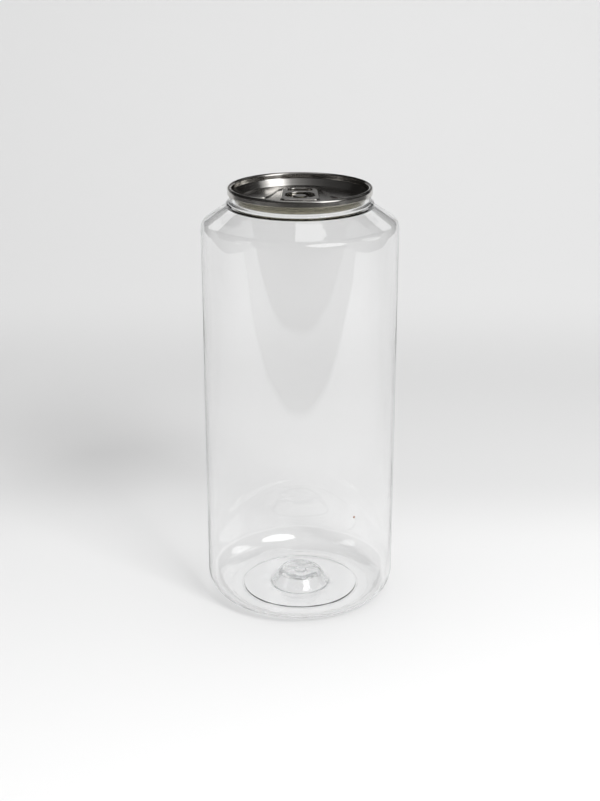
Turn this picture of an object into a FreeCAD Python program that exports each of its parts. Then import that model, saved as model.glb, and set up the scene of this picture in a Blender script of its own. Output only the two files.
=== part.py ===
"""Clear plastic drinks can with a seamed metal end and a stay-on tab.

Frame: +Z up along the can's axis, origin at the centre of the standing ring's plane.
The pour opening and the tab's nose point along -Y, and the tab's heel along +Y.
"""
import FreeCAD, Part
import math
import os

import Sketcher

doc = FreeCAD.newDocument("ClearCan")

# ---------------------------------------------------------------- driving dimensions, in mm and degrees
SIZES = [
    ("body_diameter", 75.0, "outside of the straight wall"),
    ("can_height", 165.6, "standing ring to the top of the seam"),
    ("wall", 0.45, "blown plastic of the straight wall"),
    # base
    ("base_rounding", 9.4, "outside radius from the wall into the base"),
    ("ring_width", 4.4, "flat standing ring, from the base's rounding inwards"),
    ("ring_step", 0.8, "rise of the web inside the standing ring"),
    ("ring_slope", 0.8, "width of the step up to the web"),
    ("web_wall", 0.7, "plastic of the flat web"),
    ("push_up_foot_diameter", 23.2, "foot of the raised centre, inside"),
    ("push_up_top_diameter", 18.0, "flat top of the raised centre, inside"),
    ("push_up_height", 7.3, "top of the raised centre above the standing plane"),
    ("push_up_wall", 0.9, "plastic of the raised centre's flank"),
    ("push_up_rounding", 1.6, "roundings of the raised centre"),
    ("gate_wall", 2.0, "thick plastic left at the middle of the base"),
    ("gate_diameter", 4.4, "moulding gate's stub under the middle"),
    ("gate_length", 0.9, "how far the stub stands down"),
    # shoulder and neck
    ("shoulder_angle", 33.25, "fall of the conical shoulder below the horizontal"),
    ("shoulder_wall", 0.55, "plastic of the shoulder"),
    ("shoulder_rounding", 3.7, "outside radius from the shoulder into the wall"),
    ("ledge_width", 1.19, "how far the upright ledge stands out of the neck"),
    ("ledge_foot_depth", 7.05, "seam top down to the foot of the ledge"),
    ("ledge_height", 1.0, "height of the ledge"),
    ("ledge_rounding", 0.25, "rounding of the ledge's top edge"),
    ("neck_flare", 1.3, "height of the flare from the neck to the ledge"),
    ("neck_wall", 0.7, "plastic of the neck under the seam"),
    ("neck_rounding", 0.9, "hollow rounding from the neck into its flare"),
    # double seam
    ("seam_diameter", 54.6, "outside of the double seam"),
    ("seam_height", 2.7, "height of the double seam"),
    ("seam_flat", 0.06, "flat left between the two roundings of a curl"),
    ("gauge", 0.22, "metal sheet of the end"),
    ("hook_wall", 0.4, "plastic folded into the seam"),
    ("seam_gap", 0.05, "sealing compound between the folded layers"),
    ("fold_bevel", 0.35, "corners that folding breaks in the layers inside the seam"),
    ("cover_hook_length", 1.25, "metal hook that stands up inside the seam"),
    # metal end
    ("end_depth", 6.5, "seam top down to the bottom of the countersink"),
    ("panel_depth", 4.3, "seam top down to the centre panel"),
    ("panel_rounding", 0.45, "outside radius of the panel's edge"),
    ("countersink_width", 0.85, "gap of the countersink at its bottom"),
    ("countersink_flat", 0.09, "flat left between the countersink's two roundings"),
    ("chuck_wall_lean", 1.99, "how far the countersink's outer wall leans inwards"),
    ("chuck_wall_bend", 0.5, "bottom of the seam up to the top of the leaning wall"),
    ("chuck_wall_rounding", 1.2, "bend between the leaning wall and the seam"),
    # sunken field of the panel
    ("field_depth", 0.4, "depth of the sunken field"),
    ("field_front_margin", 2.9, "panel left in front of the field"),
    ("field_side_margin", 4.0, "panel left beside its round front"),
    ("field_front_flat", 1.4, "half the straight piece in the middle of its front"),
    ("field_turn", 0.4, "distance in front of the rivet where the front turns inwards"),
    ("field_turn_rounding", 1.8, "rounding at that turn"),
    ("field_waist_margin", 4.8, "field beside the tab where the front ends"),
    ("field_waist_back", 0.6, "distance behind the rivet where the front ends"),
    ("field_waist_rounding", 4.0, "hollow rounding at that place"),
    ("field_heel_side_margin", 0.7, "field beside the tab's heel"),
    ("field_heel_margin", 2.8, "field behind the tab's heel"),
    ("field_heel_flat", 1.9, "half the straight piece at the field's back end"),
    ("field_edge_rounding", 0.18, "pressed roundings at the top and the foot of the field's edge"),
    # pour opening
    ("pour_side_margin", 7.6, "field beside the scored pour opening"),
    ("pour_near_margin", 1.2, "rivet's pad to the near edge of the opening"),
    ("pour_front_margin", 1.5, "field in front of the far edge of the opening"),
    ("pour_side_flat", 1.9, "straight piece at each side of the opening"),
    ("score_width", 0.3, "width of the score"),
    ("score_depth", 0.1, "depth of the score"),
    ("score_hinge", 4.0, "unscored length that holds the opened flap"),
    ("score_hinge_inset", 0.4, "hinge in from the opening's left near corner"),
    ("bead_clearance", 1.4, "raised bead of the flap, in front of the tab's nose"),
    ("bead_inset", 2.4, "bead in from the score elsewhere"),
    ("bead_width", 1.4, "width of the bead"),
    ("bead_height", 0.25, "height of the bead"),
    ("bead_side_flat", 0.7, "straight piece at each side of the bead"),
    ("bead_edge_rounding", 0.12, "pressed rounding of the bead's top edges"),
    # rivet
    ("rivet_diameter", 3.1, "shank that holds the tab"),
    ("rivet_head_diameter", 5.2, "spread head of the rivet"),
    ("rivet_head_height", 0.65, "thickness of the head"),
    ("rivet_head_rounding", 0.3, "rounding of the head's edge"),
    ("rivet_hollow_diameter", 1.9, "hollow drawn up under the rivet"),
    ("coin_diameter", 7.4, "coined pad round the rivet"),
    ("coin_height", 0.1, "height of that pad"),
    ("rivet_clearance", 0.05, "play between the rivet and the tab"),
    # tab
    ("tab_half_width", 7.4, "half width of the tab"),
    ("tab_nose", 8.9, "rivet to the crown of the nose, before it is rounded"),
    ("tab_nose_rise", 1.2, "rise of that crown in front of the nose's corners"),
    ("tab_nose_crown", 14.0, "radius of the nose's crown"),
    ("tab_nose_rounding", 2.4, "radius of the nose's corners"),
    ("tab_heel", 14.6, "rivet to the end of the heel"),
    ("tab_heel_half_width", 6.7, "half width of the tab at the heel"),
    ("tab_heel_flat", 0.8, "half the straight piece of the heel"),
    ("tab_thickness", 1.25, "height of the curled rim"),
    ("tab_curl", 0.5, "rounding of the curled rim"),
    ("tab_inner_curl", 0.35, "rounding of the rim's top edge round the hollow and the finger hole"),
    ("tab_sheet", 0.3, "metal sheet of the tab"),
    ("well_side_rim", 1.8, "rim beside the round hollow about the rivet"),
    ("slot_margin", 1.1, "edge of that hollow to the slot that frees the rivet's tongue"),
    ("slot_width", 1.0, "width of the slot"),
    ("slot_opening", 110.0, "angle left whole at the nose, which is the tongue's hinge"),
    ("finger_bridge", 1.8, "bridge between the hollow and the finger hole"),
    ("finger_rim", 2.3, "rim of the heel behind the finger hole"),
    ("finger_side_rim", 2.0, "rim beside the finger hole at the heel"),
    ("finger_near_rounding", 1.3, "near corners of the finger hole"),
    ("finger_far_rounding", 3.3, "far corners of the finger hole"),
]

sheet = doc.addObject("Spreadsheet::Sheet", "Sizes")
for row, (alias, value, meaning) in enumerate(SIZES, start=1):
    sheet.set(f"A{row}", meaning)
    sheet.set(f"B{row}", str(value))
    sheet.setAlias(f"B{row}", alias)
doc.recompute()


# ------------------------------------------------------------- sizes that follow from the driving ones
def size(alias):
    """The sheet's value of this alias, as expressions name it."""
    return f"Sizes.{alias}"


def half(alias):
    return f"{size(alias)} / 2"


def total(first, *rest):
    """A sum of expressions, each kept whole by brackets."""
    return " + ".join(f"({part})" for part in (first, *rest))


def less(first, *rest):
    """The first expression less all the others."""
    return " - ".join(f"({part})" for part in (first, *rest))


GAUGE = size("gauge")
GAP = size("seam_gap")
HOOK = size("hook_wall")
FOLD_BEVEL = size("fold_bevel")
BODY_RADIUS = half("body_diameter")
SEAM_RADIUS = half("seam_diameter")
RING_INNER = less(BODY_RADIUS, size("base_rounding"), size("ring_width"))

# Radii of the double seam's layers, from its outside inwards: cover, body hook, cover hook, neck, wall.
COVER_INSIDE = less(SEAM_RADIUS, GAUGE)
BODY_HOOK_OUTSIDE = less(COVER_INSIDE, GAP)
BODY_HOOK_INSIDE = less(BODY_HOOK_OUTSIDE, HOOK)
COVER_HOOK_OUTSIDE = less(BODY_HOOK_INSIDE, GAP)
COVER_HOOK_INSIDE = less(COVER_HOOK_OUTSIDE, GAUGE)
SEAM_NECK_OUTSIDE = less(COVER_HOOK_INSIDE, GAP)
NECK_INSIDE = less(SEAM_NECK_OUTSIDE, HOOK)
CHUCK_OUTSIDE = less(NECK_INSIDE, GAP)
CHUCK_INSIDE = less(CHUCK_OUTSIDE, GAUGE)
NECK_OUTSIDE = total(NECK_INSIDE, size("neck_wall"))
LEDGE_RADIUS = total(NECK_OUTSIDE, size("ledge_width"))
TOP_CURL = f"({less(SEAM_RADIUS, CHUCK_INSIDE, size('seam_flat'))}) / 2"
BOTTOM_CURL = f"({less(SEAM_RADIUS, COVER_HOOK_INSIDE, size('seam_flat'))}) / 2"

# Heights of the can's own pieces above its standing plane.
SEAM_BOTTOM = less(size("can_height"), size("seam_height"))
BODY_HOOK_TOP = less(size("can_height"), GAUGE, GAP)
BODY_HOOK_END = total(SEAM_BOTTOM, GAUGE, GAP)
SLOT_TOP = less(BODY_HOOK_TOP, HOOK)
UNDER_CENTRE = less(size("push_up_height"), size("gate_wall"))
GATE_END = less(UNDER_CENTRE, size("gate_length"))
WEB_TOP = total(size("ring_step"), size("web_wall"))

# The shoulder's cone runs from the foot of the ledge to the straight wall, outside and inside.
FALL = f"tan({size('shoulder_angle')})"
CONE_DROP = f"{size('shoulder_wall')} / cos({size('shoulder_angle')})"
LEDGE_FOOT = less(size("can_height"), size("ledge_foot_depth"))
LEDGE_TOP = total(LEDGE_FOOT, size("ledge_height"))
WALL_TOP = less(LEDGE_FOOT, f"({less(BODY_RADIUS, LEDGE_RADIUS)}) * {FALL}")
WALL_INSIDE = less(BODY_RADIUS, size("wall"))
WALL_INSIDE_TOP = less(LEDGE_FOOT, f"({less(WALL_INSIDE, LEDGE_RADIUS)}) * {FALL}", CONE_DROP)
NECK_INSIDE_FOOT = less(total(LEDGE_FOOT, f"({less(LEDGE_RADIUS, NECK_INSIDE)}) * {FALL}"), CONE_DROP)

# Heights and radii of the metal end, measured from the bottom of its own countersink.
COVER_BOTTOM = less(size("end_depth"), size("seam_height"))
COVER_TOP_INSIDE = less(size("end_depth"), GAUGE)
COVER_HOOK_TOP = total(COVER_BOTTOM, GAUGE, size("cover_hook_length"))
LEAN_TOP = total(COVER_BOTTOM, size("chuck_wall_bend"))
SINK_OUTSIDE = less(CHUCK_INSIDE, size("chuck_wall_lean"))
SINK_ROUNDING = f"({less(size('countersink_width'), size('countersink_flat'))}) / 2"
PANEL_RADIUS = less(SINK_OUTSIDE, size("countersink_width"))
PANEL_TOP = less(size("end_depth"), size("panel_depth"))
PANEL_UNDERSIDE = less(PANEL_TOP, GAUGE)
FIELD_TOP = less(PANEL_TOP, size("field_depth"))
FIELD_UNDERSIDE = less(FIELD_TOP, GAUGE)
BEAD_TOP = total(FIELD_TOP, size("bead_height"))
PAD_TOP = total(FIELD_TOP, size("coin_height"))
TAB_SEAT = total(PAD_TOP, size("rivet_clearance"))
RIVET_SHOULDER = total(TAB_SEAT, size("tab_sheet"), size("rivet_clearance"))
RIVET_TOP = total(RIVET_SHOULDER, size("rivet_head_height"))

# Half widths and reaches on the panel and on the tab, measured from the rivet.
FIELD_HALF_WIDTH = less(PANEL_RADIUS, size("field_side_margin"))
FIELD_FRONT = less(PANEL_RADIUS, size("field_front_margin"))
FIELD_WAIST = total(size("tab_half_width"), size("field_waist_margin"))
FIELD_HEEL_HALF_WIDTH = total(size("tab_heel_half_width"), size("field_heel_side_margin"))
FIELD_BACK = total(size("tab_heel"), size("field_heel_margin"))
POUR_HALF_WIDTH = less(FIELD_HALF_WIDTH, size("pour_side_margin"))
POUR_NEAR = total(half("coin_diameter"), size("pour_near_margin"))
POUR_FAR = less(FIELD_FRONT, size("pour_front_margin"))
POUR_ROUNDING = f"({less(POUR_FAR, POUR_NEAR, size('pour_side_flat'))}) / 2"
BEAD_HALF_WIDTH = less(POUR_HALF_WIDTH, size("bead_inset"))
BEAD_NEAR = total(size("tab_nose"), size("bead_clearance"))
BEAD_FAR = less(POUR_FAR, size("bead_inset"))
BEAD_ROUNDING = f"({less(BEAD_FAR, BEAD_NEAR, size('bead_side_flat'))}) / 2"
WELL_RADIUS = less(size("tab_half_width"), size("well_side_rim"))
SLOT_OUTER = less(WELL_RADIUS, size("slot_margin"))
FINGER_NEAR = total(WELL_RADIUS, size("finger_bridge"))
FINGER_HALF_WIDTH = less(size("tab_heel_half_width"), size("finger_side_rim"))


# ---------------------------------------------------------------------------------- sketching helpers
def origin_plane(body, role):
    """The body's own origin plane with this role."""
    return next(item for item in body.Origin.OriginFeatures if item.Role == role)


def new_sketch(body, name, role, height=None):
    """An empty sketch on one of the body's origin planes, raised by an expression."""
    sketch = body.newObject("Sketcher::SketchObject", name)
    sketch.AttachmentSupport = [(origin_plane(body, role), "")]
    sketch.MapMode = "FlatFace"
    if height is not None:
        sketch.setExpression("AttachmentOffset.Base.z", height)
    return sketch


def hold(sketch, kind, members, expression):
    """Adds one dimension to the sketch and ties it to the sheet."""
    index = sketch.addConstraint(Sketcher.Constraint(kind, *members, 1.0))
    sketch.setExpression(f"Constraints[{index}]", expression)


def add_corner(sketch, across, up):
    """A construction point held at two distances from the sketch's origin."""
    point = sketch.addGeometry(Part.Point(FreeCAD.Vector(1, 1, 0)), True)
    for value, axis, kind in ((across, -2, "DistanceX"), (up, -1, "DistanceY")):
        if value == "0":
            sketch.addConstraint(Sketcher.Constraint("PointOnObject", point, 1, axis))
        else:
            hold(sketch, kind, (-1, 1, point, 1), value)
    return point


def add_circle(sketch, radius, construction=False):
    """A circle round the sketch's origin."""
    circle = Part.Circle(FreeCAD.Vector(0, 0, 0), FreeCAD.Vector(0, 0, 1), 1.0)
    index = sketch.addGeometry(circle, construction)
    sketch.addConstraint(Sketcher.Constraint("Coincident", index, 3, -1, 1))
    hold(sketch, "Radius", (index,), radius)
    return index


def tangent_points(before, corner, after, radius):
    """Where a rounding of this radius touches the two sides that meet at the corner."""
    to_before = (before - corner).normalize()
    to_after = (after - corner).normalize()
    reach = radius / math.tan(to_before.getAngle(to_after) / 2)
    return corner + to_before * reach, corner + to_after * reach


def rounding_arc(start, end, corner, radius):
    """The short arc of this radius from start to end, bulging towards the corner."""
    middle = (start + end) / 2
    inward = (middle - corner).normalize()
    centre = middle + inward * math.sqrt(radius ** 2 - (start - middle).Length ** 2)
    return Part.Arc(start, centre - inward * radius, end)


def add_outline(sketch, corners):
    """A closed outline of straight sides whose corners are given as (across, up, rounding).

    Each corner is a held point. A rounding is the expression of a radius, or None at a sharp corner.
    Each distinct rounding is drawn once as a construction circle, and the arcs are made equal to it.
    """
    points = [add_corner(sketch, across, up) for across, up, _ in corners]
    gauges = {rounding: add_circle(sketch, rounding, True) for _, _, rounding in corners if rounding}
    doc.recompute()
    places = [sketch.getPoint(point, 1) for point in points]
    following = places[1:] + places[:1]

    ends = []
    for index, (_, _, rounding) in enumerate(corners):
        here = places[index]
        if rounding:
            radius = sketch.Geometry[gauges[rounding]].Radius
            ends.append(tangent_points(places[index - 1], here, following[index], radius))
        else:
            ends.append((here, here))

    sides = []
    for (_, leave), (arrive, _) in zip(ends, ends[1:] + ends[:1]):
        sides.append(sketch.addGeometry(Part.LineSegment(leave, arrive)))

    for index, (_, _, rounding) in enumerate(corners):
        arriving, leaving, point = sides[index - 1], sides[index], points[index]
        if not rounding:
            sketch.addConstraint(Sketcher.Constraint("Coincident", arriving, 2, point, 1))
            sketch.addConstraint(Sketcher.Constraint("Coincident", leaving, 1, point, 1))
            continue
        radius = sketch.Geometry[gauges[rounding]].Radius
        arc = sketch.addGeometry(rounding_arc(*ends[index], places[index], radius))
        first, last = arc_vertices(sketch, arc, ends[index][0])
        sketch.addConstraint(Sketcher.Constraint("Tangent", arriving, 2, arc, first))
        sketch.addConstraint(Sketcher.Constraint("Tangent", leaving, 1, arc, last))
        sketch.addConstraint(Sketcher.Constraint("PointOnObject", point, 1, arriving))
        sketch.addConstraint(Sketcher.Constraint("PointOnObject", point, 1, leaving))
        sketch.addConstraint(Sketcher.Constraint("Equal", gauges[rounding], arc))


def arc_vertices(sketch, arc, start):
    """The arc's two vertex numbers, the one that lies at this start first."""
    from_start = [sketch.getPoint(arc, vertex).distanceToPoint(start) for vertex in (1, 2)]
    return (1, 2) if from_start[0] < from_start[1] else (2, 1)


def mirrored(right, front=(), back=()):
    """An outline that is symmetrical about Y: corners on the axis in front, the right side from front
    to back, corners on the axis at the back, and the left side from back to front."""
    left = [(f"-({across})", up, rounding) for across, up, rounding in reversed(right)]
    return [*front, *right, *back, *left]


def ahead(expression):
    """A distance in front of the rivet, towards -Y."""
    return f"-({expression})"


# ---------------------------------------------------------------------------------- feature helpers
def new_body(label, height=None):
    """A PartDesign body with this label, its origin raised to a height tied to the sheet."""
    body = doc.addObject("PartDesign::Body", label)
    body.Label = label
    if height is not None:
        body.setExpression("Placement.Base.z", height)
    return body


def checked(body, feature, adds):
    """Recomputes and makes sure that the feature really added to the solid, or cut it."""
    before = feature.BaseFeature.Shape.Volume if feature.BaseFeature else 0.0
    doc.recompute()
    change = feature.Shape.Volume - before
    if change == 0 or (change > 0) != adds:
        raise RuntimeError(f"{body.Label}.{feature.Name} changed the volume by {change}")
    return feature


def revolve(body, name, sketch, adds=True, angle=None):
    """Turns the sketch's outline round the can's axis, all the way or evenly to both sides."""
    kind = "Revolution" if adds else "Groove"
    feature = body.newObject(f"PartDesign::{kind}", name)
    feature.Profile = sketch
    feature.ReferenceAxis = (sketch, ["V_Axis"])
    if angle is None:
        feature.Angle = 360
    else:
        feature.Midplane = True
        feature.setExpression("Angle", angle)
    return checked(body, feature, adds)


def extrude(body, name, sketch, length, adds, upwards):
    """Pads or pockets the sketch's outline over a length tied to the sheet."""
    feature = body.newObject("PartDesign::Pad" if adds else "PartDesign::Pocket", name)
    feature.Profile = sketch
    feature.Reversed = upwards != adds
    feature.setExpression("Length", length)
    return checked(body, feature, adds)


def round_edges(body, name, radius, chosen):
    """Fillets the edges of the body's last feature that the given test picks."""
    base = body.Tip
    names = [f"Edge{n}" for n, edge in enumerate(base.Shape.Edges, start=1) if chosen(edge)]
    feature = body.newObject("PartDesign::Fillet", name)
    feature.Base = (base, names)
    feature.setExpression("Radius", radius)
    doc.recompute()
    return feature


def lies_level(edge, height):
    """Whether an edge lies in the level plane at this height."""
    return all(abs(vertex.Point.z - height) < 1e-6 for vertex in edge.Vertexes)


def round_walls(body, name, radius, low, high, foot=True):
    """Fillets the top edges, and the foot edges too, of the upright walls from low up to high."""
    bottom = sheet.evalExpression(low)
    top = sheet.evalExpression(high)
    walls = [face for face in body.Tip.Shape.Faces
             if abs(face.BoundBox.ZMin - bottom) < 1e-4 and abs(face.BoundBox.ZMax - top) < 1e-4]
    rims = [edge for face in walls for edge in face.Edges
            if lies_level(edge, top) or (foot and lies_level(edge, bottom))]
    round_edges(body, name, radius, lambda edge: any(edge.isSame(rim) for rim in rims))


# ------------------------------------------------------------------------------------------- can body
def make_can_body():
    """The blown shell: raised base, straight wall, shoulder, neck and the hook folded into the seam."""
    body = new_body("can_body")
    outside = [
        ("0", GATE_END, None),
        (half("gate_diameter"), GATE_END, None),
        (half("gate_diameter"), UNDER_CENTRE, None),
        (less(half("push_up_top_diameter"), size("push_up_wall")), UNDER_CENTRE, None),
        (less(half("push_up_foot_diameter"), size("push_up_wall")), size("ring_step"), None),
        (less(RING_INNER, size("ring_slope")), size("ring_step"), None),
        (RING_INNER, "0", None),
        (BODY_RADIUS, "0", size("base_rounding")),
        (BODY_RADIUS, WALL_TOP, size("shoulder_rounding")),
        (LEDGE_RADIUS, LEDGE_FOOT, None),
        (LEDGE_RADIUS, LEDGE_TOP, size("ledge_rounding")),
        (NECK_OUTSIDE, total(LEDGE_TOP, size("neck_flare")), size("neck_rounding")),
        (NECK_OUTSIDE, less(SEAM_BOTTOM, GAP), None),
        (SEAM_NECK_OUTSIDE, less(SEAM_BOTTOM, GAP), None),
    ]
    fold = [
        (SEAM_NECK_OUTSIDE, SLOT_TOP, None),
        (BODY_HOOK_INSIDE, SLOT_TOP, None),
        (BODY_HOOK_INSIDE, BODY_HOOK_END, None),
        (BODY_HOOK_OUTSIDE, BODY_HOOK_END, None),
        (BODY_HOOK_OUTSIDE, less(BODY_HOOK_TOP, FOLD_BEVEL), None),
        (less(BODY_HOOK_OUTSIDE, FOLD_BEVEL), BODY_HOOK_TOP, None),
        (total(NECK_INSIDE, FOLD_BEVEL), BODY_HOOK_TOP, None),
        (NECK_INSIDE, less(BODY_HOOK_TOP, FOLD_BEVEL), None),
    ]
    inside = [
        (NECK_INSIDE, NECK_INSIDE_FOOT, None),
        (WALL_INSIDE, WALL_INSIDE_TOP, less(size("shoulder_rounding"), size("wall"))),
        (WALL_INSIDE, size("wall"), less(size("base_rounding"), size("wall"))),
        (RING_INNER, size("wall"), None),
        (less(RING_INNER, size("ring_slope")), WEB_TOP, None),
        (half("push_up_foot_diameter"), WEB_TOP, size("push_up_rounding")),
        (half("push_up_top_diameter"), size("push_up_height"), size("push_up_rounding")),
        ("0", size("push_up_height"), None),
    ]
    section = new_sketch(body, "ShellSection", "XZ_Plane")
    add_outline(section, outside + fold + inside)
    revolve(body, "Shell", section)
    return body


# ------------------------------------------------------------------------------------------ metal end
def field_outline(grown):
    """The sunken field: round in front round the pour opening, narrowing beside the tab to its heel."""
    front_side = total(FIELD_HALF_WIDTH, grown)
    return mirrored([
        (front_side, ahead(total(FIELD_FRONT, grown)), less(front_side, size("field_front_flat"))),
        (front_side, less(grown, size("field_turn")), total(size("field_turn_rounding"), grown)),
        (total(FIELD_WAIST, grown), total(size("field_waist_back"), grown),
         less(size("field_waist_rounding"), grown)),
        (total(FIELD_HEEL_HALF_WIDTH, grown), total(FIELD_BACK, grown),
         less(total(FIELD_HEEL_HALF_WIDTH, grown), size("field_heel_flat"))),
    ])


def score_outline():
    """The score: a narrow ring round the pour opening, left open beside the nose for the flap's hinge."""
    outer_side, outer_rounding = POUR_HALF_WIDTH, POUR_ROUNDING
    inner_side = less(outer_side, size("score_width"))
    inner_rounding = less(outer_rounding, size("score_width"))
    outer_near, outer_far = ahead(POUR_NEAR), ahead(POUR_FAR)
    inner_near = less(outer_near, size("score_width"))
    inner_far = total(outer_far, size("score_width"))
    hinge_left = less(total(outer_rounding, size("score_hinge_inset")), outer_side)
    hinge_right = total(hinge_left, size("score_hinge"))
    return [
        (hinge_right, outer_near, None),
        (outer_side, outer_near, outer_rounding),
        (outer_side, outer_far, outer_rounding),
        (f"-({outer_side})", outer_far, outer_rounding),
        (f"-({outer_side})", outer_near, outer_rounding),
        (hinge_left, outer_near, None),
        (hinge_left, inner_near, None),
        (f"-({inner_side})", inner_near, inner_rounding),
        (f"-({inner_side})", inner_far, inner_rounding),
        (inner_side, inner_far, inner_rounding),
        (inner_side, inner_near, inner_rounding),
        (hinge_right, inner_near, None),
    ]


def bead_outline(inset):
    """One edge of the flap's raised oval bead, this far inside the bead's outer edge."""
    side = less(BEAD_HALF_WIDTH, inset)
    near = ahead(total(BEAD_NEAR, inset))
    far = total(ahead(BEAD_FAR), inset)
    rounding = less(BEAD_ROUNDING, inset)
    return mirrored([(side, far, rounding), (side, near, rounding)])


def make_can_end():
    """The stamped end: panel, countersink, leaning wall and the sheet rolled into the seam."""
    body = new_body("can_end", less(size("can_height"), size("end_depth")))
    sink_under_rounding = total(SINK_ROUNDING, GAUGE)
    panel_wall_inside = less(PANEL_RADIUS, GAUGE)
    upper_face = [
        ("0", PANEL_TOP, None),
        (PANEL_RADIUS, PANEL_TOP, size("panel_rounding")),
        (PANEL_RADIUS, GAUGE, SINK_ROUNDING),
        (SINK_OUTSIDE, GAUGE, SINK_ROUNDING),
        (CHUCK_INSIDE, LEAN_TOP, size("chuck_wall_rounding")),
        (CHUCK_INSIDE, size("end_depth"), TOP_CURL),
        (SEAM_RADIUS, size("end_depth"), TOP_CURL),
        (SEAM_RADIUS, COVER_BOTTOM, BOTTOM_CURL),
        (total(COVER_HOOK_INSIDE, GAUGE), COVER_BOTTOM, None),
        (COVER_HOOK_INSIDE, total(COVER_BOTTOM, GAUGE), None),
        (COVER_HOOK_INSIDE, COVER_HOOK_TOP, None),
    ]
    lower_face = [
        (COVER_HOOK_OUTSIDE, COVER_HOOK_TOP, None),
        (COVER_HOOK_OUTSIDE, total(COVER_BOTTOM, GAUGE), None),
        (COVER_INSIDE, total(COVER_BOTTOM, GAUGE), None),
        (COVER_INSIDE, less(COVER_TOP_INSIDE, FOLD_BEVEL), None),
        (less(COVER_INSIDE, FOLD_BEVEL), COVER_TOP_INSIDE, None),
        (total(CHUCK_OUTSIDE, FOLD_BEVEL), COVER_TOP_INSIDE, None),
        (CHUCK_OUTSIDE, less(COVER_TOP_INSIDE, FOLD_BEVEL), None),
        (CHUCK_OUTSIDE, LEAN_TOP, size("chuck_wall_rounding")),
        (total(SINK_OUTSIDE, GAUGE), "0", sink_under_rounding),
        (panel_wall_inside, "0", sink_under_rounding),
        (panel_wall_inside, less(PANEL_UNDERSIDE, GAUGE), None),
        (less(panel_wall_inside, GAUGE), PANEL_UNDERSIDE, None),
        ("0", PANEL_UNDERSIDE, None),
    ]
    section = new_sketch(body, "EndSection", "XZ_Plane")
    add_outline(section, upper_face + lower_face)
    revolve(body, "EndSheet", section)
    sink_field(body)
    press_rivet(body)
    score_opening(body)
    return body


def sink_field(body):
    """Presses the field down by one depth: sheet is added beneath and taken away on top."""
    beneath = new_sketch(body, "FieldBeneath", "XY_Plane", PANEL_UNDERSIDE)
    add_outline(beneath, field_outline(GAUGE))
    extrude(body, "FieldFloor", beneath, size("field_depth"), adds=True, upwards=False)
    above = new_sketch(body, "FieldAbove", "XY_Plane", PANEL_TOP)
    add_outline(above, field_outline("0"))
    extrude(body, "Field", above, size("field_depth"), adds=False, upwards=False)
    round_walls(body, "FieldEdge", size("field_edge_rounding"), FIELD_TOP, PANEL_TOP)


def press_rivet(body):
    """The rivet is drawn up from the panel itself: a coined pad, a shank and a spread, hollow head."""
    section = new_sketch(body, "RivetSection", "XZ_Plane")
    add_outline(section, [
        ("0", FIELD_UNDERSIDE, None),
        (half("coin_diameter"), FIELD_UNDERSIDE, None),
        (half("coin_diameter"), PAD_TOP, None),
        (half("rivet_diameter"), PAD_TOP, None),
        (half("rivet_diameter"), RIVET_SHOULDER, None),
        (half("rivet_head_diameter"), RIVET_SHOULDER, None),
        (half("rivet_head_diameter"), RIVET_TOP, size("rivet_head_rounding")),
        ("0", RIVET_TOP, None),
    ])
    revolve(body, "Rivet", section)
    hollow = new_sketch(body, "RivetHollowCircle", "XY_Plane", FIELD_UNDERSIDE)
    add_circle(hollow, half("rivet_hollow_diameter"))
    extrude(body, "RivetHollow", hollow, less(RIVET_TOP, FIELD_TOP), adds=False, upwards=True)


def score_opening(body):
    """The score that the flap tears along, and the flap's stiffening bead."""
    score = new_sketch(body, "ScoreRing", "XY_Plane", FIELD_TOP)
    add_outline(score, score_outline())
    extrude(body, "Score", score, size("score_depth"), adds=False, upwards=False)
    bead = new_sketch(body, "BeadRing", "XY_Plane", FIELD_TOP)
    add_outline(bead, bead_outline("0"))
    add_outline(bead, bead_outline(size("bead_width")))
    extrude(body, "Bead", bead, size("bead_height"), adds=True, upwards=True)
    round_walls(body, "BeadEdge", size("bead_edge_rounding"), FIELD_TOP, BEAD_TOP, foot=False)
    groove = new_sketch(body, "BeadGroove", "XY_Plane", FIELD_UNDERSIDE)
    add_outline(groove, bead_outline(GAUGE))
    add_outline(groove, bead_outline(less(size("bead_width"), GAUGE)))
    extrude(body, "BeadHollow", groove, size("bead_height"), adds=False, upwards=True)


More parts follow.
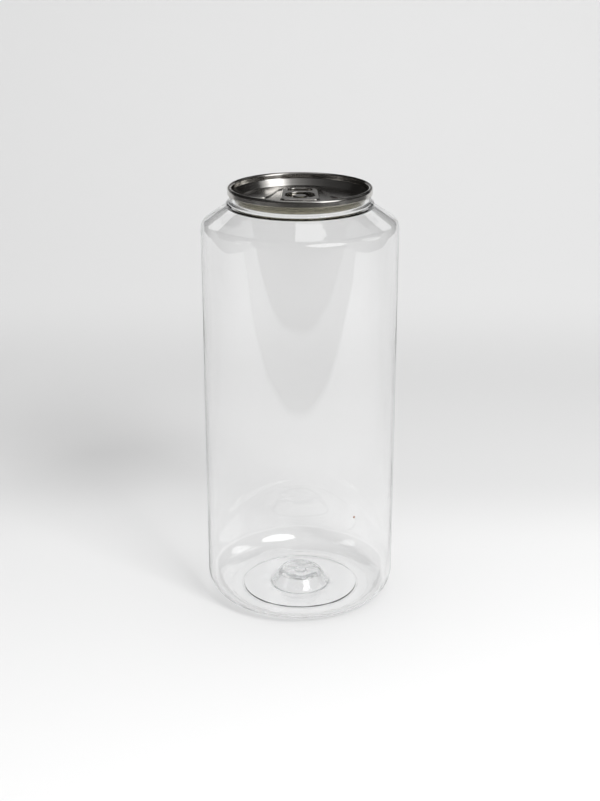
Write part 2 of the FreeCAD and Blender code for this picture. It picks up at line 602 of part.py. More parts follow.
# ------------------------------------------------------------------------------------------------ tab
def make_tab():
    """The stay-on tab: a curled rim round a hollow with the riveted tongue, and a finger hole."""
    body = new_body("tab", total(less(size("can_height"), size("end_depth")), TAB_SEAT))
    rim = new_sketch(body, "RimOutline", "XY_Plane")
    add_outline(rim, mirrored(
        front=[("0", ahead(size("tab_nose")), size("tab_nose_crown"))],
        right=[
            (size("tab_half_width"), ahead(less(size("tab_nose"), size("tab_nose_rise"))),
             size("tab_nose_rounding")),
            (size("tab_heel_half_width"), size("tab_heel"),
             less(size("tab_heel_half_width"), size("tab_heel_flat"))),
        ],
    ))
    extrude(body, "Rim", rim, size("tab_thickness"), adds=True, upwards=True)
    top = sheet.get("tab_thickness")
    round_edges(body, "Curl", size("tab_curl"), lambda edge: lies_level(edge, 0) or lies_level(edge, top))

    well = new_sketch(body, "WellCircle", "XY_Plane", size("tab_thickness"))
    add_circle(well, WELL_RADIUS)
    extrude(body, "Well", well, less(size("tab_thickness"), size("tab_sheet")), adds=False,
            upwards=False)
    round_walls(body, "WellCurl", size("tab_inner_curl"), size("tab_sheet"), size("tab_thickness"),
                foot=False)

    hole = new_sketch(body, "RivetHoleCircle", "XY_Plane")
    add_circle(hole, total(half("rivet_diameter"), size("rivet_clearance")))
    extrude(body, "RivetHole", hole, size("tab_sheet"), adds=False, upwards=True)

    slot = new_sketch(body, "SlotSection", "YZ_Plane")
    slot_inner = less(SLOT_OUTER, size("slot_width"))
    add_outline(slot, [
        (slot_inner, "0", None),
        (SLOT_OUTER, "0", None),
        (SLOT_OUTER, size("tab_sheet"), None),
        (slot_inner, size("tab_sheet"), None),
    ])
    revolve(body, "TongueSlot", slot, adds=False, angle=f"360 - {size('slot_opening')}")

    finger = new_sketch(body, "FingerOutline", "XY_Plane")
    add_outline(finger, mirrored([
        (FINGER_HALF_WIDTH, FINGER_NEAR, size("finger_near_rounding")),
        (FINGER_HALF_WIDTH, less(size("tab_heel"), size("finger_rim")), size("finger_far_rounding")),
    ]))
    extrude(body, "FingerHole", finger, size("tab_thickness"), adds=False, upwards=True)
    round_walls(body, "FingerCurl", size("tab_inner_curl"), "0", size("tab_thickness"), foot=False)
    return body


# ------------------------------------------------------------------------------------ build and export
def failed(item):
    """Whether recomputing left this object invalid or in error."""
    return "Invalid" in item.State or "Error" in item.State


parts = [make_can_body(), make_can_end(), make_tab()]
doc.recompute()

broken = [item.Name for item in doc.Objects if failed(item)]
if broken:
    raise RuntimeError(f"these objects failed: {broken}")
for part in parts:
    if part.Shape.isNull() or not part.Shape.isValid() or len(part.Shape.Solids) != 1:
        raise RuntimeError(f"{part.Label} is not one valid solid")

os.makedirs("parts", exist_ok=True)
for part in parts:
    part.Shape.exportStep(os.path.join("parts", f"{part.Label}.step"))
    print(f"{part.Label}: {part.Shape.Volume:.1f} mm3")
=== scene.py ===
"""Looks of the clear plastic can: blown shell, seamed metal end and stay-on tab, in a pale studio."""
import math

import bmesh
import bpy
import numpy as np
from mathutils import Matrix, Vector, noise


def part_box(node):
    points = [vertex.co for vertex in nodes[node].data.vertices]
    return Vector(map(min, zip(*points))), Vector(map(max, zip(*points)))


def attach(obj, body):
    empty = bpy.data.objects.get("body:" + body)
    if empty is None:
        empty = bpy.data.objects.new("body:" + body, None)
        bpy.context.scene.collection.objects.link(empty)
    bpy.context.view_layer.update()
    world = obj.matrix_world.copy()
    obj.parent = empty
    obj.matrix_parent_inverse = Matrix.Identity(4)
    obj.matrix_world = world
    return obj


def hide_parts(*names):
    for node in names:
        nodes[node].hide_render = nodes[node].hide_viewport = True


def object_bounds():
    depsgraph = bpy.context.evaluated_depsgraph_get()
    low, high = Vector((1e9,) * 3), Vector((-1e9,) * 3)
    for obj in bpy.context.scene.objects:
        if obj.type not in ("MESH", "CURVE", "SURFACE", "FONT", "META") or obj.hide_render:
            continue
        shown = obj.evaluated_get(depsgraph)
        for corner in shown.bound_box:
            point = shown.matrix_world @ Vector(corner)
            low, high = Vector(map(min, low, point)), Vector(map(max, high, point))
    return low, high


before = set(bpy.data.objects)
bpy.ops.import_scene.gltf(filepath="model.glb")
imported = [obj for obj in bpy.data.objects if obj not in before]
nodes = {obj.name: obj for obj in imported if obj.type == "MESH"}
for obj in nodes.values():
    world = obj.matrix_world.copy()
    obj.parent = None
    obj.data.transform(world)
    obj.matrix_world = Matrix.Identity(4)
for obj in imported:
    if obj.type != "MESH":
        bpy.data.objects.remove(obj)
cad_low, cad_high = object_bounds()

MM = 0.001

# --------------------------------------------------------------------------- sizes of the can, in mm
TOP = cad_high.z / MM                           # top of the seam
BODY_R = cad_high.x / MM                        # outside of the straight wall
SEAM_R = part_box("can_end")[1].x / MM            # outside of the double seam
WALL = 0.45                                     # plastic of the straight wall and of the base's edge

BASE_ROUNDING = 9.4                             # from the wall into the base
RING_R = 23.8                                   # inside of the standing ring
RING_SLOPE = 1.0                                # width of the soft step up to the flat web
WEB_UNDER, WEB_TOP = 0.4, 1.1                   # the flat web inside the ring
WEB_MIDDLE = 1.3                                # the web's inside where the raised middle begins
PUSH_UP_UNDER, PUSH_UP_TOP = 5.3, 7.0           # the raised middle, below and inside
PUSH_UP_UNDER_R, PUSH_UP_TOP_R = 7.4, 8.0       # its flat top, below and inside
PUSH_UP_HOLLOW_R, PUSH_UP_FOOT_R = 10.4, 11.4   # its foot, below and inside
GATE_R, GATE_LENGTH = 2.2, 0.9                  # moulding gate's stub under the middle
BUTTON_R = 12.4                                 # the unstretched middle, which comes out lumpy

SHOULDER_FALL = math.radians(33.25)             # the cone's slope
SHOULDER_WALL = 0.55
SHOULDER_ROUNDING = 3.7                         # from the shoulder into the wall

SHEET = 0.22                                    # metal of the end
COMPOUND = 0.05                                 # sealing compound between the seam's layers
HOOK = 0.4                                      # plastic folded into the seam
NECK_WALL = 0.7
SEAM_FOOT = TOP - 2.7                           # lower edge of the seam
LEDGE_FOOT = TOP - 7.05
LEDGE_HEIGHT, LEDGE_WIDTH = 1.0, 1.19           # upright ledge round the neck
NECK_FLARE = 1.3                                # height of the flare from the neck to the ledge
LACQUER_TOP = TOP - 2.8                         # the seam hides the end's lacquered side above this

UNEVEN = 4, 157                                 # between these heights the wall isn't quite round
OVAL, FLUTES, INNER_FLUTES = 0.035, 0.02, 0.012 # how far it stands out and in there
INSET = 0.06                                    # keeps all of it inside the true shape
BULGE, LUMP = 0.4, 0.04                         # how far the unstretched middle stands up and down

ARC_STEP = math.radians(5)                      # roundings are drawn in steps of at most this
LONGEST_RUN = 3.0                               # straight runs of the shell are divided to this
SEGMENTS = 256                                  # of the shell, around

# ---------------------------------------------------------------------------- colours and finishes
PET_IOR = 1.57
PET_RIPPLES = 55, 55, 14                        # of the blown wall, per metre: they run up and down
PET_RIPPLE_DEPTH = 0.00016
PET_HAZE = 0.12                                 # roughness of the unstretched middle
PET_PAINTED_EDGE_SHADE = 0.03, 0.07, 0.10, 1                  # painted shade: the dark tint a wall seen edge on is given, for the dark lines its edges show
PET_PAINTED_EDGE_POWER = 11.0                           # the higher, the narrower that painted dark edge
PET_DEPTH = (0.45, 0.55, 0.60, 1), 12.0         # colour and density of the plastic itself
SHADOW_CLEAR, SHADOW_EDGE = 0.98, 0.6           # lamp light through a wall face on and edge on
SHADOW_EDGE_POWER = 4.0

LACQUER = 0.24, 0.225, 0.17                     # olive product lacquer over the metal
END_METAL = 0.60, 0.585, 0.56
END_ROUGHNESS = 0.15
TAB_METAL = 0.62, 0.6, 0.57
TAB_ROUGHNESS = 0.1
TURNED_LINES = 2600, 2600, 0.7                  # across the radius, up, and per radian around
ROLLED_LINES = 60, 2200, 30                     # along x, y and z, per metre
LINE_SHADES = 0.86, 1.06                        # darkest and lightest lines
FLAT, UNDER = 0.93, -0.12                       # rise of the normal on flats and on faces that look down
GLOSS_CLOUDS = 0.05                             # how far the roughness changes


# ------------------------------------------------------------------------------------ mesh helpers
def rounded(corners):
    """The outline through (radius, height, rounding) corners, each rounding drawn as an arc."""
    points = [Vector((r, z)) for r, z, _ in corners]
    outline = []
    for index, (_, _, rounding) in enumerate(corners):
        here = points[index]
        if not rounding or index in (0, len(corners) - 1):
            outline.append(here)
            continue
        to_before = (points[index - 1] - here).normalized()
        to_after = (points[index + 1] - here).normalized()
        half_turn = to_before.angle(to_after) / 2
        centre = here + (to_before + to_after).normalized() * rounding / math.sin(half_turn)
        start = here + to_before * rounding / math.tan(half_turn) - centre
        end = here + to_after * rounding / math.tan(half_turn) - centre
        turn = math.atan2(start.x * end.y - start.y * end.x, start.dot(end))
        steps = math.ceil(abs(turn) / ARC_STEP)
        for step in range(steps + 1):
            a = turn * step / steps
            spin = Vector((start.x * math.cos(a) - start.y * math.sin(a),
                           start.x * math.sin(a) + start.y * math.cos(a)))
            outline.append(centre + spin)
    return outline


def divided(outline, longest):
    """The outline with its long straight runs divided, so that they can be shaped."""
    result = [outline[0]]
    for start, end in zip(outline, outline[1:]):
        parts = max(1, math.ceil((end - start).length / longest))
        result += [start.lerp(end, k / parts) for k in range(1, parts + 1)]
    return result


def lathe(outline, segments, uneven):
    """The points and faces of an outline turned round Z. uneven(x, y, z) gives, in mm, how far a
    point stands out and up from there."""
    verts, faces = [], []
    for point in outline:
        for angle in np.linspace(0, 2 * math.pi, segments, endpoint=False):
            x, y = point.x * math.sin(angle), -point.x * math.cos(angle)
            out, up = uneven(x / MM, y / MM, point.y / MM)
            grow = 1 + out * MM / point.x if point.x else 1.0
            verts.append((x * grow, y * grow, point.y + up * MM))
    for row in range(len(outline) - 1):
        a, b = row * segments, (row + 1) * segments
        for k in range(segments):
            n = (k + 1) % segments
            faces.append((a + k, a + n, b + n, b + k))
    return verts, faces


def new_mesh(name, verts, faces):
    """A smooth mesh object, its doubled points merged and its faces turned outwards."""
    mesh = bpy.data.meshes.new(name)
    mesh.from_pydata(verts, [], faces)
    bm = bmesh.new()
    bm.from_mesh(mesh)
    bmesh.ops.remove_doubles(bm, verts=bm.verts, dist=1e-7)
    bmesh.ops.dissolve_degenerate(bm, dist=1e-8, edges=bm.edges)
    bmesh.ops.recalc_face_normals(bm, faces=bm.faces)
    bm.to_mesh(mesh)
    bm.free()
    mesh.shade_smooth()
    return new_object(name, mesh)


def new_object(name, data):
    """An object that shows this mesh, lamp or camera."""
    made = bpy.data.objects.new(name, data)
    bpy.context.scene.collection.objects.link(made)
    return made


# ------------------------------------------------------------------------------------ node helpers
def new_material(name):
    """A material, its node tree and its Principled node."""
    material = bpy.data.materials.new(name)
    material.use_nodes = True
    tree = material.node_tree
    return material, tree, tree.nodes["Principled BSDF"]


def feed(tree, socket, value):
    """Gives a socket a plain value, or links another node's output to it."""
    if isinstance(value, bpy.types.NodeSocket):
        tree.links.new(value, socket)
    else:
        socket.default_value = value


def feed_all(tree, shader, inputs):
    """Feeds a shader's sockets, given by name."""
    for name, value in inputs.items():
        feed(tree, shader.inputs[name], value)


def node(tree, kind, inputs=None, **settings):
    """A new shader node with these settings, its inputs fed by name or number."""
    made = tree.nodes.new(kind)
    for name, value in settings.items():
        setattr(made, name, value)
    feed_all(tree, made, inputs or {})
    return made


def maths(tree, operation, *operands):
    """A Math node's result."""
    return node(tree, "ShaderNodeMath", dict(enumerate(operands)), operation=operation).outputs[0]


def remap(tree, value, start, end, low=0.0, high=1.0):
    """The value, with the span from start to end stretched to low to high and clamped there."""
    spans = {"Value": value, "From Min": start, "From Max": end, "To Min": low, "To Max": high}
    return node(tree, "ShaderNodeMapRange", spans).outputs[0]


def mixed(tree, kind, factor, first, second, **settings):
    """A mix of two numbers, vectors or colours, as kind says."""
    made = node(tree, "ShaderNodeMix", data_type=kind, **settings)
    for socket, value in zip([s for s in made.inputs if s.enabled], (factor, first, second)):
        feed(tree, socket, value)
    return next(s for s in made.outputs if s.enabled)


def mixed_shader(tree, factor, first, second):
    """A mix of two shaders."""
    return node(tree, "ShaderNodeMixShader", {0: factor, 1: first, 2: second}).outputs[0]


def object_place(tree):
    """The place on the object: the whole vector, and its x, y and z."""
    place = node(tree, "ShaderNodeTexCoord").outputs["Object"]
    return place, *split(tree, place)


def split(tree, vector):
    """A vector's x, y and z."""
    return node(tree, "ShaderNodeSeparateXYZ", {0: vector}).outputs


def square_sum(tree, first, second):
    """The sum of two squares."""
    return maths(tree, "ADD", maths(tree, "MULTIPLY", first, first), maths(tree, "MULTIPLY", second, second))


def line_noise(tree, axes, squeezes):
    """Noise over a space squeezed along each axis, so that it turns into lines."""
    scaled = [maths(tree, "MULTIPLY", axis, squeeze) for axis, squeeze in zip(axes, squeezes)]
    joined = node(tree, "ShaderNodeCombineXYZ", dict(enumerate(scaled)))
    lines = {"Vector": joined.outputs[0], "Scale": 1.0, "Detail": 4.0, "Roughness": 0.6}
    return node(tree, "ShaderNodeTexNoise", lines).outputs["Fac"]


# --------------------------------------------------------------------------------------- materials
def clear_plastic():
    """Blown clear polyester: gently rippled, with painted shade darkening it where it is seen edge on, hazy
    where it wasn't stretched.
    """
    material, tree, glass = new_material("clear_plastic")
    place, x, y, _ = object_place(tree)
    stretched = node(tree, "ShaderNodeMapping", {"Vector": place, "Scale": PET_RIPPLES})
    flow = node(tree, "ShaderNodeTexNoise", {"Vector": stretched.outputs[0], "Scale": 1.0, "Detail": 2.5,
                                             "Roughness": 0.55})
    ripple = node(tree, "ShaderNodeBump", {"Height": flow.outputs["Fac"], "Strength": 1.0,
                                           "Distance": PET_RIPPLE_DEPTH})
    haze = remap(tree, square_sum(tree, x, y), (BUTTON_R * MM) ** 2, (0.5 * BUTTON_R * MM) ** 2,
                 high=PET_HAZE)
    skimming = node(tree, "ShaderNodeLayerWeight", {"Blend": 0.5}).outputs["Facing"]
    # Painted shade: the colour the glass lets through turns dark blue-grey where the wall is seen edge on.
    through = mixed(tree, "RGBA", maths(tree, "POWER", skimming, PET_PAINTED_EDGE_POWER), (1, 1, 1, 1), PET_PAINTED_EDGE_SHADE)
    feed_all(tree, glass, {"Transmission Weight": 1.0, "IOR": PET_IOR, "Roughness": haze,
                           "Base Color": through, "Normal": ripple.outputs[0]})
    passing = mixed(tree, "RGBA", maths(tree, "POWER", skimming, SHADOW_EDGE_POWER),
                    (*[SHADOW_CLEAR] * 3, 1), (*[SHADOW_EDGE] * 3, 1))
    lamp_light = node(tree, "ShaderNodeBsdfTransparent", {"Color": passing})
    path = node(tree, "ShaderNodeLightPath")
    surface = mixed_shader(tree, path.outputs["Is Shadow Ray"], glass.outputs[0], lamp_light.outputs[0])
    colour, density = PET_DEPTH
    grey = node(tree, "ShaderNodeVolumeAbsorption", {"Color": colour, "Density": density})
    feed_all(tree, tree.nodes["Material Output"], {"Surface": surface, "Volume": grey.outputs[0]})
    return material


def rolled_metal(name, colour, roughness, lacquer=None):
    """Aluminium sheet: lines turned round the axis by the tools on its walls and rolled straight
    across on its flats, with the product lacquer on the side that faces the drink."""
    material, tree, metal = new_material(name)
    place, x, y, z = object_place(tree)
    radius = maths(tree, "SQRT", square_sum(tree, x, y))
    angle = maths(tree, "ARCTAN2", x, y)
    turned = line_noise(tree, (radius, z, angle), TURNED_LINES)
    rolled = line_noise(tree, (x, y, z), ROLLED_LINES)
    normal = split(tree, node(tree, "ShaderNodeNewGeometry").outputs["True Normal"])
    flat = maths(tree, "GREATER_THAN", normal["Z"], FLAT)
    lines = mixed(tree, "FLOAT", flat, turned, rolled)
    surface = mixed(tree, "RGBA", 1.0, (*colour, 1), remap(tree, lines, 0.3, 0.7, *LINE_SHADES),
                    blend_type="MULTIPLY")
    if lacquer:
        outward = maths(tree, "ADD", maths(tree, "MULTIPLY", x, normal["X"]),
                        maths(tree, "MULTIPLY", y, normal["Y"]))
        inside = maths(tree, "MULTIPLY", maths(tree, "GREATER_THAN", outward, 0.0),
                       maths(tree, "LESS_THAN", z, LACQUER_TOP * MM))
        under = maths(tree, "MAXIMUM", inside, maths(tree, "LESS_THAN", normal["Z"], UNDER))
        surface = mixed(tree, "RGBA", under, surface, (*lacquer, 1))
    clouds = node(tree, "ShaderNodeTexNoise", {"Vector": place, "Scale": 260.0, "Detail": 2.0})
    gloss = remap(tree, clouds.outputs["Fac"], 0.0, 1.0, roughness - GLOSS_CLOUDS, roughness + GLOSS_CLOUDS)
    around = node(tree, "ShaderNodeTangent", direction_type="RADIAL", axis="Z")
    along = mixed(tree, "VECTOR", flat, around.outputs[0], (1, 0, 0))
    relief = node(tree, "ShaderNodeBump", {"Height": lines, "Strength": 0.08, "Distance": 0.00004})
    feed_all(tree, metal, {"Base Color": surface, "Metallic": 1.0, "Roughness": gloss, "Anisotropic": 0.6,
                           "Anisotropic Rotation": 0.25, "Tangent": along, "Normal": relief.outputs[0]})
    return material


def dirt():
    """Dried rusty brown dirt."""
    material, tree, dull = new_material("dirt")
    grain = node(tree, "ShaderNodeTexNoise", {"Scale": 9000.0, "Detail": 3.0})
    shades = node(tree, "ShaderNodeValToRGB", {0: grain.outputs["Fac"]})
    for stop, place, colour in zip(shades.color_ramp.elements, (0.35, 0.65),
                                   ((0.28, 0.09, 0.03, 1), (0.62, 0.24, 0.09, 1))):
        stop.position = place
        stop.color = colour
    feed_all(tree, dull, {"Base Color": shades.outputs[0], "Roughness": 0.8})
    return material


# ------------------------------------------------------------------------------------------ the can
def shell_outline():
    """Half the shell's section as (radius, height, rounding) corners: from the middle of the base
    out and up to the seam, folded over there, and back down inside."""
    web_r = RING_R - RING_SLOPE
    under_gate = PUSH_UP_UNDER - GATE_LENGTH
    hook_out = SEAM_R - SHEET - COMPOUND            # the fold's layers, from the outside inwards
    hook_in = hook_out - HOOK
    neck_fold = hook_in - SHEET - 2 * COMPOUND
    neck_in = neck_fold - HOOK
    neck_out = neck_in + NECK_WALL
    ledge_r = neck_out + LEDGE_WIDTH
    ledge_top = LEDGE_FOOT + LEDGE_HEIGHT
    fold_top = TOP - SHEET - COMPOUND
    hook_foot = SEAM_FOOT + SHEET + COMPOUND
    slope = math.tan(SHOULDER_FALL)
    shoulder_foot = LEDGE_FOOT - (BODY_R - ledge_r) * slope
    shoulder_drop = SHOULDER_WALL / math.cos(SHOULDER_FALL)
    body_in = BODY_R - WALL
    return [
        (0.0, under_gate, 0), (GATE_R, under_gate, 0.3), (GATE_R, PUSH_UP_UNDER, 0.3),
        (PUSH_UP_UNDER_R, PUSH_UP_UNDER, 1.6), (PUSH_UP_HOLLOW_R, WEB_UNDER, 1.6),
        (web_r, WEB_UNDER, 0.5), (RING_R, 0.0, 0.4),
        (BODY_R, 0.0, BASE_ROUNDING), (BODY_R, shoulder_foot, SHOULDER_ROUNDING),
        (ledge_r, LEDGE_FOOT, 0.3), (ledge_r, ledge_top, 0.25),
        (neck_out, ledge_top + NECK_FLARE, 0.9), (neck_out, SEAM_FOOT - COMPOUND, 0.05),
        (neck_fold, SEAM_FOOT - COMPOUND, 0.05), (neck_fold, fold_top - HOOK, 0),
        (hook_in, fold_top - HOOK, 0), (hook_in, hook_foot, 0), (hook_out, hook_foot, 0),
        (hook_out, fold_top, 0.4), (neck_in, fold_top, 0.4),
        (neck_in, LEDGE_FOOT + (ledge_r - neck_in) * slope - shoulder_drop, 0.8),
        (body_in, LEDGE_FOOT - (body_in - ledge_r) * slope - shoulder_drop, SHOULDER_ROUNDING - WALL),
        (body_in, WALL, BASE_ROUNDING - WALL), (RING_R, WALL, 0.5), (web_r, WEB_TOP, 0.5),
        (PUSH_UP_FOOT_R, WEB_MIDDLE, 2.4), (PUSH_UP_TOP_R, PUSH_UP_TOP, 2.4), (0.0, PUSH_UP_TOP, 0),
    ]


def blown(x, y, z):
    """How far the wall stands out and up here, in mm, from a true turned shape."""
    radius, angle = math.hypot(x, y), math.atan2(x, -y)
    if radius < BUTTON_R:
        calm = 1 - (radius / BUTTON_R) ** 2
        bulge = noise.noise(Vector((x, y, 0.2 * z)) * 0.33 + Vector((3, 1, 7)))
        lump = noise.noise(Vector((x, y, 0.3 * z)) * 0.9)
        return 0.0, calm * (BULGE * bulge + LUMP * lump)
    if not UNEVEN[0] <= z <= UNEVEN[1]:
        return 0.0, 0.0
    oval = OVAL * math.sin(2 * angle + 0.7) * math.sin(z * 0.045 + 1.1)
    flutes = FLUTES * math.sin(5 * angle + 2.0 + z * 0.02)
    if radius < BODY_R - WALL / 2:
        flutes += INNER_FLUTES * math.sin(3 * angle - 1.0 + z * 0.03)
    return oval + flutes - INSET, 0.0


def make_shell():
    """The clear shell with its true wall, a little uneven as blown plastic is."""
    corners = [tuple(value * MM for value in corner) for corner in shell_outline()]
    outline = divided(rounded(corners), LONGEST_RUN * MM)
    piece = new_mesh("can_shell", *lathe(outline, SEGMENTS, blown))
    piece.data.materials.append(clear_plastic())
    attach(piece, "root")
    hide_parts("can_body")
    return piece


def make_speck():
    """A small uneven flake of dirt that lies against the wall."""
    name = "dirt_speck"
    azimuth, radius, height = math.radians(33.6), BODY_R - 0.14, 44.2
    width, thickness = 0.75, 0.2
    lumps, lumps_across = 0.35, 3.1
    bm = bmesh.new()
    bmesh.ops.create_icosphere(bm, subdivisions=4, radius=0.5)
    for vert in bm.verts:
        vert.co *= 1 + lumps * noise.noise(vert.co * lumps_across)
        vert.co = Vector((vert.co.x * width, vert.co.y * thickness, vert.co.z * width)) * MM
    mesh = bpy.data.meshes.new(name)
    bm.to_mesh(mesh)
    bm.free()
    mesh.shade_smooth()
    mesh.materials.append(dirt())
    speck = new_object(name, mesh)
    speck.location = Vector((radius * math.sin(azimuth), -radius * math.cos(azimuth), height)) * MM
    speck.rotation_euler = (0, 0, azimuth)
    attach(speck, "root")


def coat(name, material):
    """Gives a CAD node its finish."""
    mesh = nodes[name].data
    mesh.materials.clear()
    mesh.materials.append(material)


# ------------------------------------------------------------------- sizes of the studio, in metres
FLOOR_FRONT, FLOOR_BACK, FLOOR_SIDE = -1.6, 0.33, 1.6
BACKDROP_BEND, BACKDROP_TOP, BACKDROP_PARTS = 0.6, 0.26, 24

# Painted shade on the sweep at a few distances behind the can's axis: the paper is made duller where the
# floor ends, and under the lamp in front, where it would burn out, standing in for how the light falls
# there.
SWEEP_PAINTED_SHADES = [(-0.6, 0.50), (-0.28, 0.78), (-0.15, 0.84), (0.03, 0.80), (0.11, 0.71), (0.23, 0.70),
                (0.42, 0.82), (0.9, 0.875)]

TABLE_EDGE = -0.267         # in front of this, mirrored rays see the dim room and not the table
TABLE_EDGE_SOFT = 0.008
TABLE_SIDE = 0.6            # so they do farther out than this on either side
ROOM_NEAR = -0.50, 0.3      # the room's glow fades from this radiance at this place in front
ROOM_FAR = -0.68, 0.045     # to this one
ROOM_TINT = 1.0, 0.985, 0.96, 1
ROOM_SIDE = 0.2             # share of the glow that is left beside the table

# What the lid mirrors from the front half of the room, from the left side round to the right:
# azimuth in degrees and radiance. The window is on the right of the camera.
LID_ROOM = [(-110, 0.02), (-53, 0.05), (-27, 0.10), (0, 0.24), (18, 0.42), (29, 1.1), (36, 2.3), (58, 2.3),
            (70, 0.9), (84, 0.05), (110, 0.03), (124, 0.3), (140, 0.03)]
SCREEN_R = 1.2
SCREEN_PARTS = 96
SCREEN_TOP = 2.2
SCREEN_FOOT = 0.65
WINDOW = 31, 64             # between these azimuths the screen comes down nearly to the table
WINDOW_FOOT = 0.2

# The lamps light the scene and show in nothing: width and height, azimuth, elevation, distance,
# radiance. Azimuth 0 is on the camera's side and 90 on the right.
LAMPS = {"key": ((0.3, 0.3), 35, 44, 1.0, 28), "fill": ((3.2, 3.2), 0, 90, 1.5, 1.12)}

# The cards only show in shiny pieces, with the same values.
LID_CARDS = {"lid_above": ((1.2, 0.8), 180, 76, 2.0, 1.2), "lid_back": ((4.0, 0.9), 180, 15, 3.0, 0.2)}
SHELL_CARDS = {"back_card": ((5.0, 1.1), 180, 31.5, 3.6, 0.85),
               "overhead_card": ((0.3, 0.4), 150, 80, 1.5, 1.3)}
FOOT_CARDS = {"foot_key": ((0.72, 0.72), 35, 44, 1.0, 3.2), "foot_left": ((0.5, 0.9), -74, 30, 1.5, 1.0),
              "foot_right": ((0.6, 0.9), 98, 30, 1.5, 1.6)}

WORLD_ROOM = 0.018, 0.0175, 0.017, 1
WORLD_PALE = 0.72, 0.72, 0.725, 1

CAMERA_PLACE = 0.0, -0.5214, 0.2727
CAMERA_FALL = math.radians(20.265)      # how far below the horizon the camera looks
CAMERA_LENS, CAMERA_SENSOR = 63.35, 36.0


# --------------------------------------------------------------------------------------- the studio
def filled_ramp(tree, value, stops):
    """A colour ramp's result. Its stops are (place, shade) pairs, spread over the whole ramp."""
    made = node(tree, "ShaderNodeValToRGB", {0: value})
    ramp = made.color_ramp
    start, end = stops[0][0], stops[-1][0]
    while len(ramp.elements) < len(stops):
        ramp.elements.new(0.5)
    for element, (place, shade) in zip(ramp.elements, stops):
        element.position = (place - start) / (end - start)
        element.color = (shade, shade, shade, 1)
    return made


def room_material():
    """Pale sweep with painted shade along its depth; beyond the table's edges, mirrored rays meet a dim room
    instead.
    """
    material, tree, pale = new_material("sweep")
    x, y, _ = split(tree, node(tree, "ShaderNodeNewGeometry").outputs["Position"])
    # Painted shade: the sweep's colour changes with distance behind the can, standing in for how the light
    # falls.
    shade = filled_ramp(tree, remap(tree, y, SWEEP_PAINTED_SHADES[0][0], SWEEP_PAINTED_SHADES[-1][0]), SWEEP_PAINTED_SHADES)
    shade.color_ramp.interpolation = "EASE"
    feed_all(tree, pale, {"Base Color": shade.outputs[0], "Roughness": 0.9, "Specular IOR Level": 0.1})
    beyond = remap(tree, y, TABLE_EDGE + TABLE_EDGE_SOFT, TABLE_EDGE - TABLE_EDGE_SOFT)
    aside = maths(tree, "GREATER_THAN", maths(tree, "ABSOLUTE", x), TABLE_SIDE)
    mirrored = maths(tree, "GREATER_THAN", node(tree, "ShaderNodeLightPath").outputs["Glossy Depth"], 0.5)
    in_room = maths(tree, "MULTIPLY", maths(tree, "MAXIMUM", beyond, aside), mirrored)
    away = remap(tree, y, ROOM_NEAR[0], ROOM_FAR[0], ROOM_NEAR[1], ROOM_FAR[1])
    at_side = maths(tree, "SUBTRACT", 1.0, maths(tree, "MULTIPLY", aside, 1 - ROOM_SIDE))
    dim = node(tree, "ShaderNodeEmission", {"Color": ROOM_TINT,
                                            "Strength": maths(tree, "MULTIPLY", away, at_side)})
    feed(tree, tree.nodes["Material Output"].inputs[0],
         mixed_shader(tree, in_room, pale.outputs[0], dim.outputs[0]))
    return material


def make_sweep():
    """Floor that curves up into a low backdrop."""
    line = [(FLOOR_FRONT, 0.0), (FLOOR_BACK, 0.0)]
    for part in range(1, BACKDROP_PARTS + 1):
        a = math.acos(1 - BACKDROP_TOP / BACKDROP_BEND) * part / BACKDROP_PARTS
        line.append((FLOOR_BACK + BACKDROP_BEND * math.sin(a), BACKDROP_BEND * (1 - math.cos(a))))
    verts = [(x, y, z) for y, z in line for x in (-FLOOR_SIDE, FLOOR_SIDE)]
    faces = [(2 * k, 2 * k + 1, 2 * k + 3, 2 * k + 2) for k in range(len(line) - 1)]
    sweep = new_mesh("sweep", verts, faces)
    sweep.data.materials.append(room_material())


def make_world():
    """A dim room, which mirrored and scattered rays see. The camera sees pale paper behind the sweep."""
    world = bpy.data.worlds.new("room")
    bpy.context.scene.world = world
    world.use_nodes = True
    tree = world.node_tree
    room = tree.nodes["Background"]
    feed(tree, room.inputs["Color"], WORLD_ROOM)
    pale = node(tree, "ShaderNodeBackground", {"Color": WORLD_PALE})
    seen = node(tree, "ShaderNodeLightPath").outputs["Is Camera Ray"]
    feed(tree, tree.nodes["World Output"].inputs[0],
         mixed_shader(tree, seen, room.outputs[0], pale.outputs[0]))


def aimed_light(name, size, azimuth, elevation, distance, radiance):
    """A flat soft light that looks at the can."""
    data = bpy.data.lights.new(name, "AREA")
    data.shape = "RECTANGLE"
    data.size, data.size_y = size
    data.energy = radiance * math.pi * size[0] * size[1]
    light = new_object(name, data)
    a, e = math.radians(azimuth), math.radians(elevation)
    away = Vector((math.sin(a) * math.cos(e), -math.cos(a) * math.cos(e), math.sin(e)))
    light.location = away * distance + Vector((0, 0, TOP * MM / 2))
    light.rotation_mode = "QUATERNION"
    light.rotation_quaternion = away.to_track_quat("Z", "Y")
    return light


def make_lamp(name, place):
    """A lamp that lights the scene, straight through the clear wall too, and isn't mirrored."""
    lamp = aimed_light(name, *place)
    lamp.data.cycles.use_multiple_importance_sampling = False
    lamp.visible_glossy = False
    lamp.visible_transmission = False
    lamp.visible_camera = False


def only_mirrored_by(card, pieces):
    """Hides a card from the camera and from dull surfaces, and shows it to these pieces only."""
    card.visible_diffuse = False
    card.visible_camera = False
    card.visible_shadow = False
    seen_by = bpy.data.collections.new(f"{card.name}_pieces")
    for piece in pieces:
        seen_by.objects.link(piece)
    card.light_linking.receiver_collection = seen_by


def make_cards(cards, pieces):
    """Pale cards that only these shiny pieces show."""
    made = [aimed_light(name, *place) for name, place in cards.items()]
    for card in made:
        only_mirrored_by(card, pieces)
    return made


def make_foot_cards(shell):
    """Round cards that only the far side of the clear wall shows, through its near side."""
    for card in make_cards(FOOT_CARDS, [shell]):
        card.visible_glossy = False
        card.data.shape = "ELLIPSE"


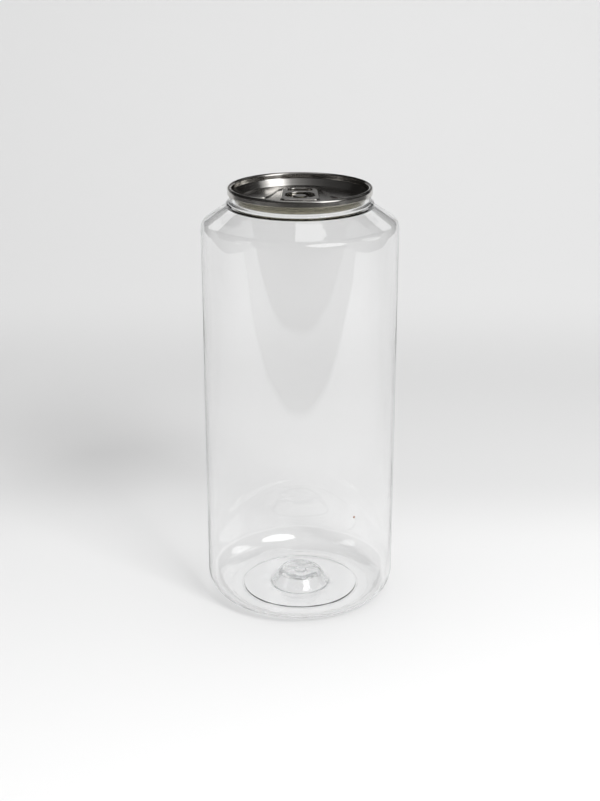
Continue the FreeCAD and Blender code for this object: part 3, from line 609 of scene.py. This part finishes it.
def make_lid_room(lid):
    """A tall curved screen round the front that only the lid mirrors, softly lit from one side."""
    first, last = LID_ROOM[0][0], LID_ROOM[-1][0]
    verts = []
    for part in range(SCREEN_PARTS + 1):
        azimuth = first + (last - first) * part / SCREEN_PARTS
        a = math.radians(azimuth)
        foot = WINDOW_FOOT if WINDOW[0] < azimuth < WINDOW[1] else SCREEN_FOOT
        verts += [(SCREEN_R * math.sin(a), -SCREEN_R * math.cos(a), z) for z in (foot, SCREEN_TOP)]
    faces = [(2 * k, 2 * k + 1, 2 * k + 3, 2 * k + 2) for k in range(SCREEN_PARTS)]
    screen = new_mesh("lid_room", verts, faces)
    material, tree, _ = new_material("lid_room")
    _, x, y, _ = object_place(tree)
    turned = maths(tree, "ARCTAN2", x, maths(tree, "MULTIPLY", y, -1))
    light = filled_ramp(tree, remap(tree, turned, math.radians(first), math.radians(last)), LID_ROOM)
    glow = node(tree, "ShaderNodeEmission", {"Color": light.outputs[0]})
    clear = node(tree, "ShaderNodeBsdfTransparent")
    both = node(tree, "ShaderNodeAddShader", {0: glow.outputs[0], 1: clear.outputs[0]})
    feed(tree, tree.nodes["Material Output"].inputs[0], both.outputs[0])
    screen.data.materials.append(material)
    only_mirrored_by(screen, lid)


def make_camera():
    """The camera at the viewing angle: in front, a little above the can, looking down on it."""
    data = bpy.data.cameras.new("camera")
    data.sensor_width = CAMERA_SENSOR
    data.lens = CAMERA_LENS
    data.clip_start, data.clip_end = 0.01, 20
    camera = new_object("camera", data)
    camera.location = CAMERA_PLACE
    camera.rotation_euler = (math.pi / 2 - CAMERA_FALL, 0, 0)
    bpy.context.scene.camera = camera


def set_light_paths():
    """Plain colours, and enough bounces for light that goes through both walls and the base."""
    bpy.context.scene.view_settings.view_transform = "Standard"
    cycles = bpy.context.scene.cycles
    cycles.max_bounces = 24
    cycles.glossy_bounces = 16
    cycles.transmission_bounces = 24
    cycles.transparent_max_bounces = 24
    cycles.caustics_reflective = False
    cycles.caustics_refractive = False


# ---------------------------------------------------------------------------------------- all of it
shell = make_shell()
make_speck()
coat("can_end", rolled_metal("can_end_metal", END_METAL, END_ROUGHNESS, LACQUER))
coat("tab", rolled_metal("tab_metal", TAB_METAL, TAB_ROUGHNESS))

make_sweep()
make_world()
for name, place in LAMPS.items():
    make_lamp(name, place)
lid = [nodes["can_end"], nodes["tab"]]
make_lid_room(lid)
make_cards(LID_CARDS, lid)
make_cards(SHELL_CARDS, [shell])
make_foot_cards(shell)
make_camera()
set_light_paths()
